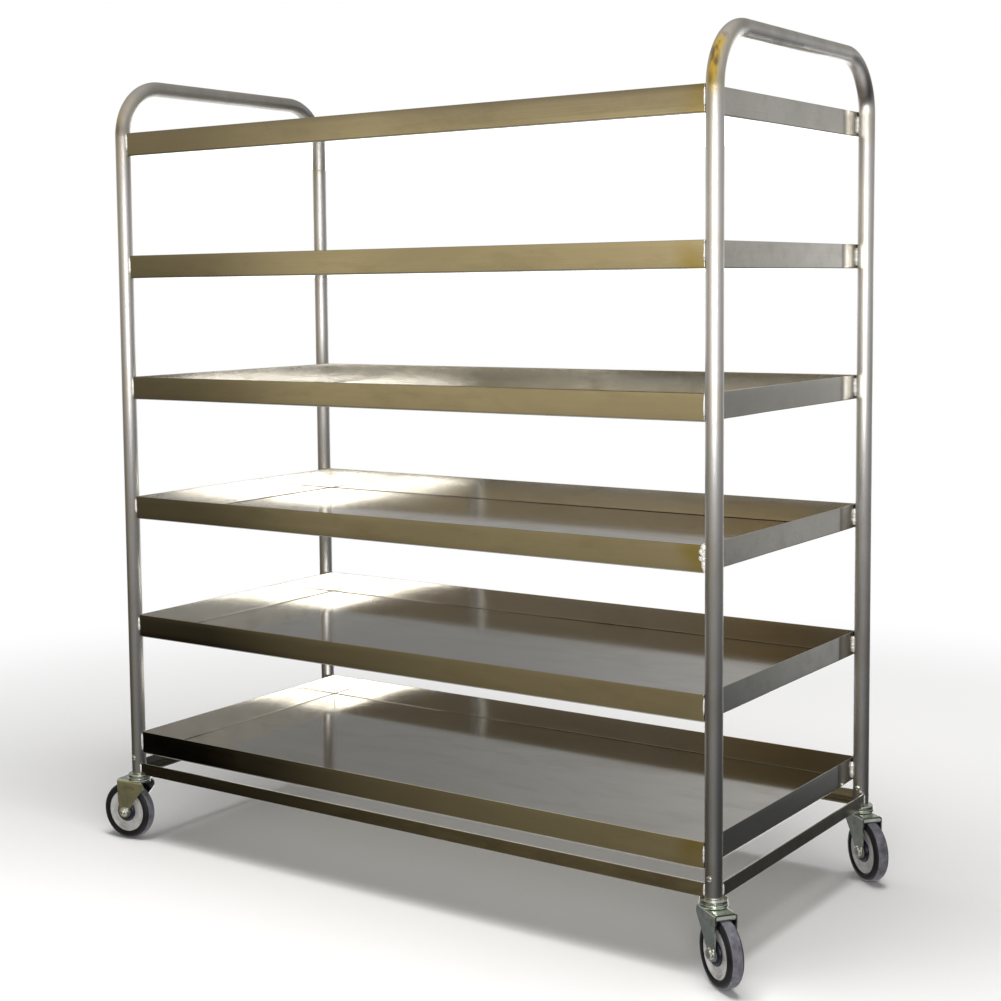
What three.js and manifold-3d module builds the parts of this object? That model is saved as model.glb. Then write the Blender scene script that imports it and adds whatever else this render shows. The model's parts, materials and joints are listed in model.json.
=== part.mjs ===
// A six-shelf tray cart for moving books: two bent tube end frames, six pressed steel trays,
// an angle-iron base frame and four swivel casters.
// Millimetres, +Z up. The origin is on the floor under the middle of the cart. X runs along
// the cart, Y across it, and the long side that faces -Y is the front.

import * as THREE from "three";
import { mergeVertices } from "three/addons/utils/BufferGeometryUtils.js";
import Module from "manifold-3d";

// ---------------------------------------------------------------- driving dimensions
const LEG_X = 706; // leg axis from the middle, along the cart
const LEG_Y = 330; // leg axis from the middle, across the cart
const TUBE_R = 15.875; // 1 1/4 inch tube
const TUBE_WALL = 1.65;
const BEND_R = 110; // centreline radius of the handle bends
const HANDLE_Z = 1657; // axis of the level handle at the top of each frame
const FOOT_Z = 150.2; // lower end of the legs and of the base rails

const TRAY_COUNT = 6;
const TRAY_PITCH = 261.5;
const LOWEST_LIP_Z = 246.5; // top edge of the lowest tray
const LIP_HEIGHT = 49;
const SHEET = 1.5;
const TRAY_BEND = 4; // outer radius where the floor turns up into the lip
const TRAY_HALF_Y = 335;

const ANGLE_LEG = 25.4; // 1 inch angle iron
const ANGLE_THICK = 3;
const RAIL_OUT_Y = 9; // front and back rails stand this far outside the leg axes
const RAIL_OUT_X = 12.7; // and the end rails this far

const WHEEL_R = 62.5;
const WHEEL_WIDTH = 31;
const TYRE_BORE_R = 46;
const DISC_R = 48.7; // visible side disc
const TRAIL = 30; // axle behind the swivel axis
const RACE_R = 25;
const AXLE_R = 5;
const FORK_INNER = 18.6; // inner faces of the fork arms, from the wheel's middle plane
const FORK_THICK = 3;
const CROWN_Z = 135.2; // top of the fork's crown
const CROWN_THICK = 4;
const KINGPIN_R = 6;
const PIN_R = 3; // cross pin that locks a caster stem in its leg
const PIN_Z = 187;

const GAP = 0.35; // left between pieces that touch
const BORE_GAP = 0.4; // left round a shaft in its hole

const TUBE_SIDES = 16;
const BEND_STEPS = 8; // straight facets in each handle bend
const WHEEL_SIDES = 24;
const ROUND_SIDES = 20;
const SMALL_SIDES = 12; // pins, bolts and their holes

// Where each caster's wheel trails, in degrees from +X.
const CASTERS = [
  { name: "front_right", x: 1, y: -1, heading: -36 },
  { name: "back_right", x: 1, y: 1, heading: -38 },
  { name: "front_left", x: -1, y: -1, heading: 187 },
  { name: "back_left", x: -1, y: 1, heading: 144 },
];

// ---------------------------------------------------------------- materials
function surface(color, roughness, metalness) {
  return new THREE.MeshStandardMaterial({ color, roughness, metalness });
}
const METAL = 0.9;
const MATERIALS = {
  tube: surface(0xb9b7b2, 0.3, METAL),
  tray: surface(0xa29d92, 0.38, METAL),
  rail: surface(0x8e8a7c, 0.4, METAL),
  zinc: surface(0xc9c7b4, 0.35, METAL),
  bolt: surface(0xd2d2cc, 0.3, METAL),
  tyre: surface(0x17171a, 0.7, 0),
  disc: surface(0xc9c7c4, 0.55, 0),
  guard: surface(0x24242c, 0.45, 0),
};

// ---------------------------------------------------------------- joining and cutting
const wasm = await Module();
wasm.setup();

function solid(geometry) {
  const bare = geometry.clone();
  bare.deleteAttribute("normal");
  bare.deleteAttribute("uv");
  const merged = mergeVertices(bare, 1e-4);
  const vertProperties = new Float32Array(merged.attributes.position.array);
  const triVerts = new Uint32Array(merged.index.array);
  return new wasm.Manifold(new wasm.Mesh({ numProp: 3, vertProperties, triVerts }));
}

function geometryOf(manifold) {
  const mesh = manifold.getMesh();
  const geometry = new THREE.BufferGeometry();
  geometry.setAttribute("position", new THREE.Float32BufferAttribute(mesh.vertProperties, 3));
  geometry.setIndex(Array.from(mesh.triVerts));
  geometry.computeVertexNormals();
  return geometry;
}

function box(x0, x1, y0, y1, z0, z1) {
  const geometry = new THREE.BoxGeometry(x1 - x0, y1 - y0, z1 - z0);
  return geometry.translate((x0 + x1) / 2, (y0 + y1) / 2, (z0 + z1) / 2);
}

// An upright round bar. Its flats stand on the stated radius, so nothing inside pokes through.
function post(radius, z0, z1, x = 0, y = 0, sides = ROUND_SIDES) {
  const outer = radius / Math.cos(Math.PI / sides);
  const geometry = new THREE.CylinderGeometry(outer, outer, z1 - z0, sides);
  return geometry.rotateX(Math.PI / 2).translate(x, y, (z0 + z1) / 2);
}

// The same bar lying along Y, between y0 and y1, at height z.
function crossbar(radius, y0, y1, x, z, sides = ROUND_SIDES) {
  const outer = radius / Math.cos(Math.PI / sides);
  const geometry = new THREE.CylinderGeometry(outer, outer, y1 - y0, sides);
  return geometry.translate(x, (y0 + y1) / 2, z);
}

// A turned piece about Z from [radius, height] points that start and end on the axis, or that
// run once round a ring.
function turned(points, sides, ring = false) {
  const outline = points.map(([r, h]) => new THREE.Vector2(r, h));
  if (ring) outline.push(outline[0].clone());
  return new THREE.LatheGeometry(outline, sides).rotateX(Math.PI / 2);
}

// The same about Y, with one flat side facing straight down.
function turnedWheel(points, sides, ring = true) {
  const outline = points.map(([r, h]) => new THREE.Vector2(r / Math.cos(Math.PI / sides), h));
  if (ring) outline.push(outline[0].clone());
  return new THREE.LatheGeometry(outline, sides).rotateY(Math.PI / sides);
}

// ---------------------------------------------------------------- end frames
class FramePath extends THREE.Curve {
  constructor(reach) {
    super();
    this.drop = HANDLE_Z - BEND_R + reach - FOOT_Z; // straight leg below a bend
    this.level = 2 * (LEG_Y - BEND_R);
    this.foot = FOOT_Z - reach;
    const quarter = (Math.PI / 2) * BEND_R;
    this.lengths = [this.drop, quarter, this.level, quarter, this.drop];
    this.whole = this.lengths.reduce((sum, length) => sum + length, 0);
  }
  getPoint(t, target = new THREE.Vector3()) {
    const top = HANDLE_Z - BEND_R;
    const side = LEG_Y - BEND_R;
    let run = t * this.whole;
    let stretch = 0;
    while (stretch < 4 && run > this.lengths[stretch]) {
      run -= this.lengths[stretch];
      stretch += 1;
    }
    const turn = run / BEND_R;
    const arcs = [
      () => target.set(0, -LEG_Y, this.foot + run),
      () => target.set(0, -side - BEND_R * Math.cos(turn), top + BEND_R * Math.sin(turn)),
      () => target.set(0, -side + run, HANDLE_Z),
      () => target.set(0, side + BEND_R * Math.sin(turn), top + BEND_R * Math.cos(turn)),
      () => target.set(0, LEG_Y, top - run),
    ];
    return arcs[stretch]();
  }
}

// A round bar swept along the frame's path: straight stretches in one step each, bends in many.
function frameBar(radius, reach) {
  const path = new FramePath(reach);
  const stops = [0];
  let run = 0;
  path.lengths.forEach((length, stretch) => {
    const steps = stretch % 2 ? BEND_STEPS : 1;
    for (let step = 1; step <= steps; step += 1) {
      stops.push((run + (length * step) / steps) / path.whole);
    }
    run += length;
  });
  // ExtrudeGeometry walks a path in even steps, so the path is handed over stop by stop.
  class Stepped extends THREE.Curve {
    getPoint(u, target = new THREE.Vector3()) {
      const place = u * (stops.length - 1);
      const low = Math.min(Math.floor(place + 1e-9), stops.length - 2);
      const t = stops[low] + (place - low) * (stops[low + 1] - stops[low]);
      return path.getPoint(t, target);
    }
    getPointAt(u, target) {
      return this.getPoint(u, target);
    }
    getTangentAt(u, target = new THREE.Vector3()) {
      const ahead = this.getPoint(Math.min(u + 1e-6, 1));
      const behind = this.getPoint(Math.max(u - 1e-6, 0), new THREE.Vector3());
      return target.copy(ahead).sub(behind).normalize();
    }
  }
  const section = new THREE.Shape();
  for (let side = 0; side < TUBE_SIDES; side += 1) {
    const angle = (side / TUBE_SIDES) * 2 * Math.PI;
    const point = [radius * Math.cos(angle), radius * Math.sin(angle)];
    if (side === 0) section.moveTo(...point);
    else section.lineTo(...point);
  }
  const sweep = { steps: stops.length - 1, extrudePath: new Stepped() };
  return new THREE.ExtrudeGeometry(section, sweep);
}

// One bent tube, open at both feet, with a hole through each leg for its caster's cross pin.
function endFrame() {
  const past = 5; // the bore runs this far past each foot
  const bore = solid(frameBar(TUBE_R - TUBE_WALL, past));
  let frame = solid(frameBar(TUBE_R, 0)).subtract(bore);
  const reach = 2 * TUBE_R;
  for (const y of [-LEG_Y, LEG_Y]) {
    const hole = crossbar(PIN_R + BORE_GAP, y - reach, y + reach, 0, PIN_Z, SMALL_SIDES);
    frame = frame.subtract(solid(hole));
  }
  return frame;
}

// The tube's two legs and its handle, parted where the bends begin, so that each is simple.
const PARTING_Z = HANDLE_Z - BEND_R;

function frameLengths() {
  const frame = endFrame();
  const past = 2 * LEG_Y;
  const legTop = PARTING_Z - GAP / 2;
  const blocks = {
    front_leg: box(-past, past, -past, 0, 0, legTop),
    back_leg: box(-past, past, 0, past, 0, legTop),
    handle: box(-past, past, -past, past, legTop + GAP, HANDLE_Z + past),
  };
  const cut = ([name, block]) => [name, geometryOf(frame.intersect(solid(block)))];
  return Object.fromEntries(Object.entries(blocks).map(cut));
}

// ---------------------------------------------------------------- trays
const TRAY_HALF_X = LEG_X - TUBE_R - GAP; // the end lips stand against the legs

// A block with rounded lower edges, from the tray's underside up past its lip.
function trayBlock(inset, bend) {
  const halfX = TRAY_HALF_X - inset - bend;
  const halfY = TRAY_HALF_Y - inset - bend;
  const outline = new THREE.Shape();
  outline.moveTo(-halfX, -halfY);
  outline.lineTo(halfX, -halfY);
  outline.lineTo(halfX, halfY);
  outline.lineTo(-halfX, halfY);
  const bevel = { bevelEnabled: true, bevelThickness: bend, bevelSize: bend, bevelSegments: 2 };
  const block = new THREE.ExtrudeGeometry(outline, { depth: 2 * LIP_HEIGHT, ...bevel });
  return solid(block.translate(0, 0, inset + bend));
}

function tray() {
  const shell = trayBlock(0, TRAY_BEND).subtract(trayBlock(SHEET, TRAY_BEND - SHEET));
  const reach = TRAY_HALF_X + 10;
  const above = box(-reach, reach, -reach, reach, LIP_HEIGHT, 4 * LIP_HEIGHT);
  return geometryOf(shell.subtract(solid(above)));
}

// ---------------------------------------------------------------- base rails
// Angle iron with its upright flange outside and its level flange along the bottom, coped
// round the legs that it is welded to. Each is made on the +X or +Y side and turned about.
const RAIL_TOP = FOOT_Z + ANGLE_LEG;
const RAIL_FLOOR = FOOT_Z + ANGLE_THICK;
const SHORT_OF_LEG = 8; // the upright flange stops this far before the leg's axis

function copeLegs(rail) {
  for (const x of [-LEG_X, LEG_X]) {
    for (const y of [-LEG_Y, LEG_Y]) {
      const cut = post(TUBE_R + GAP, FOOT_Z - 10, RAIL_TOP + 10, x, y, WHEEL_SIDES);
      rail = rail.subtract(solid(cut));
    }
  }
  return rail;
}

function longRail(sign) {
  const face = LEG_Y + RAIL_OUT_Y;
  const long = LEG_X - SHORT_OF_LEG;
  const end = LEG_X + RAIL_OUT_X - ANGLE_LEG - GAP; // meets the end rail's level flange
  const upright = box(-long, long, face - ANGLE_THICK, face, FOOT_Z, RAIL_TOP);
  const level = box(-end, end, face - ANGLE_LEG, face, FOOT_Z, RAIL_FLOOR);
  const rail = geometryOf(copeLegs(solid(upright).add(solid(level))));
  return sign > 0 ? rail : rail.rotateZ(Math.PI);
}

function endRail(sign) {
  const face = LEG_X + RAIL_OUT_X;
  const long = LEG_Y - SHORT_OF_LEG;
  const upright = box(face - ANGLE_THICK, face, -long, long, FOOT_Z, RAIL_TOP);
  const level = box(face - ANGLE_LEG, face, -long, long, FOOT_Z, RAIL_FLOOR);
  const rail = geometryOf(copeLegs(solid(upright).add(solid(level))));
  return sign > 0 ? rail : rail.rotateZ(Math.PI);
}

// ---------------------------------------------------------------- casters
// Each is built with its swivel axis on Z, its wheel trailing along +X and its axle along Y.
const RACE_TOP = FOOT_Z - GAP;
const RACE_HEIGHT = 6.5;
const RACE_LOW = RACE_TOP - RACE_HEIGHT;
const RACE_EDGE = 1.5;
const STEM_R = TUBE_R - TUBE_WALL - BORE_GAP;
const STEM_TOP = 214;
const STEM_CHAMFER = 3;
const KINGPIN_REACH = 10; // how far the kingpin stands up into the stem
const KINGPIN_HEAD = { r: 9.5, edge: 6, height: 4.5 };
const PIN_HEAD = { r: 5.2, crown: 2.6, rim: 0.8 };
const FORK_OUTER = FORK_INNER + FORK_THICK;
const CROWN_FRONT = 26; // crown and arms reach this far ahead of the swivel axis
const CROWN_BACK = 47; // and this far behind it, where the lip turns down
const ARM_END_R = 14;
const ARM_SHOULDER = 16; // the arms start to narrow this far below the crown's top
const LIP_DROP = 11; // turned-down lip at the back of the crown
const HEX_FLATS = 16; // the axle's bolt head and nut, across flats
const HEAD_HEIGHT = 6;
const NUT_HEIGHT = 7;
const BOLT_PAST_NUT = 2;
const HUB_R = 14; // boss in the middle of the wheel
const HUB_HALF = 17;
const DISC_HALF = 11.2; // half the disc's width at its rim

function stem() {
  const outline = [
    [0, RACE_LOW], [RACE_R - RACE_EDGE, RACE_LOW], [RACE_R, RACE_LOW + RACE_EDGE],
    [RACE_R, RACE_TOP - 2.5], [RACE_R - 2.5, RACE_TOP], [STEM_R, RACE_TOP],
    [STEM_R, STEM_TOP - STEM_CHAMFER], [STEM_R - STEM_CHAMFER, STEM_TOP], [0, STEM_TOP],
  ];
  const depth = RACE_LOW + KINGPIN_REACH + 2;
  const socket = solid(post(KINGPIN_R + BORE_GAP, RACE_LOW - 5, depth));
  const hole = solid(crossbar(PIN_R + BORE_GAP, -TUBE_R, TUBE_R, 0, PIN_Z, SMALL_SIDES));
  return geometryOf(solid(turned(outline, ROUND_SIDES)).subtract(socket).subtract(hole));
}

function stemPin() {
  const seat = TUBE_R + GAP;
  const { r, crown, rim } = PIN_HEAD;
  const half = [[PIN_R, seat], [r, seat], [r, seat + rim], [r / 2, seat + crown - 0.4]];
  const lower = half.map(([radius, along]) => [radius, -along]).reverse();
  const outline = [[0, -seat - crown], ...lower, ...half, [0, seat + crown]];
  return turned(outline, SMALL_SIDES).rotateX(Math.PI / 2);
}

// The pressed cup on top of the fork, which runs on the balls under the stem's flange.
function ballCup() {
  const low = CROWN_Z + GAP;
  const high = RACE_LOW - GAP;
  const inner = KINGPIN_R + 4;
  const outline = [
    [inner, low], [RACE_R - 0.5, low], [RACE_R + 1, low + 2.2],
    [RACE_R + 1, high - RACE_EDGE], [RACE_R - 1, high], [inner, high],
  ];
  return turned(outline, ROUND_SIDES, true);
}

function kingpin() {
  const seat = CROWN_Z - CROWN_THICK - GAP;
  const { r, edge, height } = KINGPIN_HEAD;
  const top = RACE_LOW + KINGPIN_REACH;
  const outline = [
    [0, seat - height], [edge, seat - height], [r, seat - 2], [r, seat], [KINGPIN_R, seat],
    [KINGPIN_R, top], [0, top],
  ];
  return turned(outline, 16);
}

// One arm's outline, seen along the axle: wide under the crown, narrowing to a round end at
// the axle.
function forkArm(y0, y1) {
  const shoulder = CROWN_Z - ARM_SHOULDER;
  const endX = TRAIL - ARM_END_R * 0.93; // where the front edge meets the round end
  const endZ = WHEEL_R - ARM_END_R * 0.36;
  const backX = TRAIL + ARM_END_R + 0.5;
  const outline = new THREE.Shape();
  outline.moveTo(-CROWN_FRONT + 5, CROWN_Z);
  outline.quadraticCurveTo(-CROWN_FRONT, CROWN_Z, -CROWN_FRONT, CROWN_Z - 7);
  outline.lineTo(-CROWN_FRONT + 1, shoulder);
  outline.quadraticCurveTo(-CROWN_FRONT + 10, shoulder - 16, endX - 4, WHEEL_R + ARM_END_R);
  outline.lineTo(endX, endZ);
  outline.absarc(TRAIL, WHEEL_R, ARM_END_R, Math.PI * 1.12, Math.PI * 1.97, false);
  outline.lineTo(backX, WHEEL_R + 12);
  outline.quadraticCurveTo(CROWN_BACK - 2, shoulder - 14, CROWN_BACK, shoulder + 2);
  outline.lineTo(CROWN_BACK, CROWN_Z);
  const plate = { depth: y1 - y0, bevelEnabled: false, curveSegments: 5 };
  const arm = new THREE.ExtrudeGeometry(outline, plate);
  return solid(arm.rotateX(Math.PI / 2).translate(0, y1, 0));
}

function fork() {
  const outline = new THREE.Shape();
  outline.moveTo(CROWN_BACK, -FORK_OUTER);
  outline.lineTo(CROWN_BACK, FORK_OUTER);
  outline.lineTo(0, FORK_OUTER);
  outline.quadraticCurveTo(-CROWN_FRONT, FORK_OUTER, -CROWN_FRONT, 0);
  outline.quadraticCurveTo(-CROWN_FRONT, -FORK_OUTER, 0, -FORK_OUTER);
  const plate = { depth: CROWN_THICK, bevelEnabled: false, curveSegments: 6 };
  const crown = new THREE.ExtrudeGeometry(outline, plate);
  crown.translate(0, 0, CROWN_Z - CROWN_THICK);
  const lipFace = CROWN_BACK - FORK_THICK;
  const lip = box(lipFace, CROWN_BACK, -FORK_OUTER, FORK_OUTER, CROWN_Z - LIP_DROP, CROWN_Z);
  const kingpinHole = post(KINGPIN_R + BORE_GAP, CROWN_Z - 20, CROWN_Z + 5, 0, 0, 16);
  const reach = 2 * FORK_OUTER;
  const axleHole = crossbar(AXLE_R + BORE_GAP, -reach, reach, TRAIL, WHEEL_R, SMALL_SIDES);
  return geometryOf(
    solid(crown)
      .add(forkArm(FORK_INNER, FORK_OUTER))
      .add(forkArm(-FORK_OUTER, -FORK_INNER))
      .add(solid(lip))
      .subtract(solid(kingpinHole))
      .subtract(solid(axleHole)),
  );
}

function hexagon(y0, y1) {
  const radius = HEX_FLATS / Math.sqrt(3);
  return new THREE.CylinderGeometry(radius, radius, y1 - y0, 6).translate(0, (y0 + y1) / 2, 0);
}

// Head, shank and end in one, lying along Y.
function axleBolt() {
  const seat = FORK_OUTER + GAP;
  const low = -seat - 1.5;
  const high = seat + NUT_HEIGHT + BOLT_PAST_NUT;
  const shank = new THREE.CylinderGeometry(AXLE_R, AXLE_R, high - low, SMALL_SIDES);
  shank.translate(0, (low + high) / 2, 0);
  return geometryOf(solid(hexagon(-seat - HEAD_HEIGHT, -seat)).add(solid(shank)));
}

function axleNut() {
  const seat = FORK_OUTER + GAP;
  const hole = crossbar(AXLE_R + BORE_GAP, 0, 2 * seat, 0, 0, SMALL_SIDES);
  return geometryOf(solid(hexagon(seat, seat + NUT_HEIGHT)).subtract(solid(hole)));
}

function tyre() {
  const half = WHEEL_WIDTH / 2;
  const side = [
    [WHEEL_R, half - 9], [WHEEL_R - 1.4, half - 4], [WHEEL_R - 6, half],
    [DISC_R, half - 1.5], [TYRE_BORE_R, half - 4],
  ];
  const other = side.map(([radius, along]) => [radius, -along]).reverse();
  return turnedWheel([...other, ...side], WHEEL_SIDES);
}

// Rim, dished web and straight-sided boss in one.
function wheelDisc() {
  const rim = TYRE_BORE_R - GAP;
  const bore = AXLE_R + BORE_GAP + 0.3;
  const side = [
    [rim, DISC_HALF], [41, DISC_HALF], [38, 8], [HUB_R, 9], [HUB_R, HUB_HALF], [bore, HUB_HALF],
  ];
  const other = side.map(([radius, along]) => [radius, -along]).reverse();
  return turnedWheel([...other, ...side], WHEEL_SIDES);
}

// The dark ring that keeps thread and dust out of the hub, one on each side.
function threadGuard(side) {
  const inner = HUB_R + GAP;
  const outline = [[inner, 10], [19, 9.5], [23, 10.5], [23, 13.5], [18, HUB_HALF], [inner, HUB_HALF]];
  const ring = turnedWheel(outline, WHEEL_SIDES);
  return side > 0 ? ring : ring.rotateX(Math.PI);
}

// ---------------------------------------------------------------- assembly
const cart = new THREE.Group();

function place(parent, name, geometry, material) {
  const mesh = new THREE.Mesh(geometry, material);
  mesh.name = name;
  parent.add(mesh);
  return mesh;
}

const lengths = frameLengths();
for (const [side, sign] of [["right", 1], ["left", -1]]) {
  const pieces = {
    [`front_${side}_leg`]: lengths.front_leg,
    [`back_${side}_leg`]: lengths.back_leg,
    [`${side}_handle`]: lengths.handle,
  };
  for (const [name, geometry] of Object.entries(pieces)) {
    place(cart, name, geometry, MATERIALS.tube).position.x = sign * LEG_X;
  }
}

const trayGeometry = tray();
for (let level = 1; level <= TRAY_COUNT; level += 1) {
  const mesh = place(cart, `tray_${level}`, trayGeometry, MATERIALS.tray);
  mesh.position.z = LOWEST_LIP_Z - LIP_HEIGHT + (level - 1) * TRAY_PITCH;
}

place(cart, "front_base_rail", longRail(-1), MATERIALS.rail);
place(cart, "back_base_rail", longRail(1), MATERIALS.rail);
place(cart, "right_base_rail", endRail(1), MATERIALS.rail);
place(cart, "left_base_rail", endRail(-1), MATERIALS.rail);

for (const caster of CASTERS) {
  const leg = new THREE.Group();
  leg.position.set(caster.x * LEG_X, caster.y * LEG_Y, 0);
  cart.add(leg);
  place(leg, `${caster.name}_caster_stem`, stem(), MATERIALS.zinc);
  place(leg, `${caster.name}_stem_pin`, stemPin(), MATERIALS.bolt).position.z = PIN_Z;

  const swivel = new THREE.Group();
  swivel.rotation.z = THREE.MathUtils.degToRad(caster.heading);
  leg.add(swivel);
  place(swivel, `${caster.name}_ball_cup`, ballCup(), MATERIALS.zinc);
  place(swivel, `${caster.name}_kingpin`, kingpin(), MATERIALS.bolt);
  place(swivel, `${caster.name}_fork`, fork(), MATERIALS.zinc);

  const hub = new THREE.Group();
  hub.position.set(TRAIL, 0, WHEEL_R);
  swivel.add(hub);
  place(hub, `${caster.name}_axle_bolt`, axleBolt(), MATERIALS.bolt);
  place(hub, `${caster.name}_axle_nut`, axleNut(), MATERIALS.bolt);
  place(hub, `${caster.name}_tyre`, tyre(), MATERIALS.tyre);
  place(hub, `${caster.name}_wheel_disc`, wheelDisc(), MATERIALS.disc);
  place(hub, `${caster.name}_outer_thread_guard`, threadGuard(-1), MATERIALS.guard);
  place(hub, `${caster.name}_inner_thread_guard`, threadGuard(1), MATERIALS.guard);
}

export default cart;
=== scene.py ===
"""Looks for a six-shelf stainless tray cart for books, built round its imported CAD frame.

Metres, +Z up, in the CAD's own frame: the origin is on the floor under the middle of the cart,
X runs along it and its front faces -Y.
"""

import json
import random
from math import atan2, copysign, cos, pi, radians, sin, sqrt, tan

import bmesh
import bpy
from mathutils import Matrix, Vector, noise


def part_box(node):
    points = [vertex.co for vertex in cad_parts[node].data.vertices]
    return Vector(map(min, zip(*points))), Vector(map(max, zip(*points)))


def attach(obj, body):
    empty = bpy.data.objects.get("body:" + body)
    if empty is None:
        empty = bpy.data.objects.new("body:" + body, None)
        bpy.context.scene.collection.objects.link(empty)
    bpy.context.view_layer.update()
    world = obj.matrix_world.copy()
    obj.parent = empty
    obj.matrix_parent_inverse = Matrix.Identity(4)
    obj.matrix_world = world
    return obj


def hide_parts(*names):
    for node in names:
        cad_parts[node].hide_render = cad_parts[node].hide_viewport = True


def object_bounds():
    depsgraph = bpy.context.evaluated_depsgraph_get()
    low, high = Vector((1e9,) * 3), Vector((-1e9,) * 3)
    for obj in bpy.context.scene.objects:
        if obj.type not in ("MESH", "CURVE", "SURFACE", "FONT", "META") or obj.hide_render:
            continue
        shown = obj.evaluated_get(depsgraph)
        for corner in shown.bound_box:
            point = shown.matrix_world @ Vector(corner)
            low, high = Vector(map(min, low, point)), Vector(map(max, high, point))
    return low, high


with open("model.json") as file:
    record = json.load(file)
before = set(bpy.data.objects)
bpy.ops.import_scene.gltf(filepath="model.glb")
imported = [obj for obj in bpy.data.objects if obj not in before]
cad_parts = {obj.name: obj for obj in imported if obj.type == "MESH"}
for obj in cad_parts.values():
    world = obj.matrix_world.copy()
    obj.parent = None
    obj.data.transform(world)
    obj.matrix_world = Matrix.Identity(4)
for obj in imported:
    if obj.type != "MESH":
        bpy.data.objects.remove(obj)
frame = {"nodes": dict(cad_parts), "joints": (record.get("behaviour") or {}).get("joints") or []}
cad_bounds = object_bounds()

# ---------------------------------------------------------------- sizes read from the frame
MM = 0.001
leg_low, leg_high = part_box("back_right_leg")
LEG_X = (leg_low.x + leg_high.x) / 2
TUBE_R = (leg_high.x - leg_low.x) / 2
LEG_Y = leg_high.y - TUBE_R
FOOT_Z = leg_low.z
HANDLE_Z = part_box("right_handle")[1].z - TUBE_R

TRAYS = [f"tray_{level}" for level in range(1, 7)]
tray_low, tray_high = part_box(TRAYS[0])
TRAY_HALF_X = tray_high.x
TRAY_HALF_Y = tray_high.y
LIP_HEIGHT = tray_high.z - tray_low.z
TRAY_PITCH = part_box(TRAYS[1])[0].z - tray_low.z

CORNERS = ["front_right", "back_right", "front_left", "back_left"]
JOINTS = {joint["name"]: joint for joint in frame["joints"]}

# ---------------------------------------------------------------- sizes of the finer shapes
BEND_R = 0.110
TUBE_WALL = 0.00165
SHEET = 0.0015
TRAY_BEND = 0.003
FLOOR_WAVE = 0.0003
LIP_WAVE = 0.0002
CALM_RIM = 0.08
CALM_END = 0.06

# ---------------------------------------------------------------- mesh limits
SAME_POINT = 1e-6
SMOOTH_UNDER = radians(35)
BEVEL_OVER = radians(50)


# ---------------------------------------------------------------- shapes
# A shape is (points, faces). Pieces are made of one or more shapes.
def soften(outline, radius, steps=3, closed=True):
    """The outline with a short curve in place of each corner."""
    result = []
    count = len(outline)
    for index in range(count):
        corner = Vector(outline[index])
        if not closed and index in (0, count - 1):
            result.append(corner)
            continue
        before = Vector(outline[index - 1]) - corner
        after = Vector(outline[(index + 1) % count]) - corner
        start = corner + before.normalized() * min(radius, before.length * 0.45)
        end = corner + after.normalized() * min(radius, after.length * 0.45)
        for step in range(steps + 1):
            t = step / steps
            result.append(start * (1 - t) ** 2 + corner * (2 * t * (1 - t)) + end * t * t)
    return result


def bridged(loops, ring=False):
    """Quads between loops of points. A loop of one point closes the end with triangles."""
    points = []
    indices = []
    for loop in loops:
        indices.append(list(range(len(points), len(points) + len(loop))))
        points.extend(loop)
    pairs = list(zip(indices, indices[1:]))
    if ring:
        pairs.append((indices[-1], indices[0]))
    faces = []
    for a, b in pairs:
        for k in range(max(len(a), len(b))):
            n = k + 1
            quad = [a[k % len(a)], a[n % len(a)], b[n % len(b)], b[k % len(b)]]
            corners = list(dict.fromkeys(quad))
            if len(corners) > 2:
                faces.append(corners)
    return points, faces


def angles_round(sides):
    return [2 * pi * k / sides for k in range(sides)]


def circle(matrix, radius, height, sides):
    """A loop of points about local Z."""
    return [
        matrix @ Vector((radius * cos(angle), radius * sin(angle), height))
        for angle in angles_round(sides)
    ]


def turned(profile, matrix, sides, ring=False):
    """A piece turned about local Z from (radius, height) points."""
    loops = []
    for radius, height in profile:
        if radius < SAME_POINT:
            loops.append([matrix @ Vector((0, 0, height))])
        else:
            loops.append(circle(matrix, radius, height, sides))
    return bridged(loops, ring)


def extruded(outline, matrix, low, high):
    """A closed (x, z) outline as a solid between two heights along local Y."""
    loops = [[matrix @ Vector((x, y, z)) for x, z in outline] for y in (low, high)]
    points, faces = bridged(loops)
    count = len(outline)
    faces.append(list(range(count)))
    faces.append(list(range(count, 2 * count)))
    return points, faces


def plated(outer, inner):
    """A closed sheet between two grids of points of the same size."""
    rows = len(outer)
    columns = len(outer[0])
    points = [point for grid in (outer, inner) for row in grid for point in row]
    far = rows * columns

    def at(row, column, side):
        return side * far + row * columns + column

    faces = []
    for side in (0, 1):
        for row in range(rows - 1):
            for column in range(columns - 1):
                here = at(row, column, side)
                beyond = at(row + 1, column, side)
                faces.append([here, here + 1, beyond + 1, beyond])
    edge = [(0, c) for c in range(columns - 1)]
    edge += [(r, columns - 1) for r in range(rows - 1)]
    edge += [(rows - 1, c) for c in range(columns - 1, 0, -1)]
    edge += [(r, 0) for r in range(rows - 1, 0, -1)]
    for k in range(len(edge)):
        a = edge[k]
        b = edge[(k + 1) % len(edge)]
        faces.append([at(*a, 0), at(*b, 0), at(*b, 1), at(*a, 1)])
    return points, faces


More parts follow.
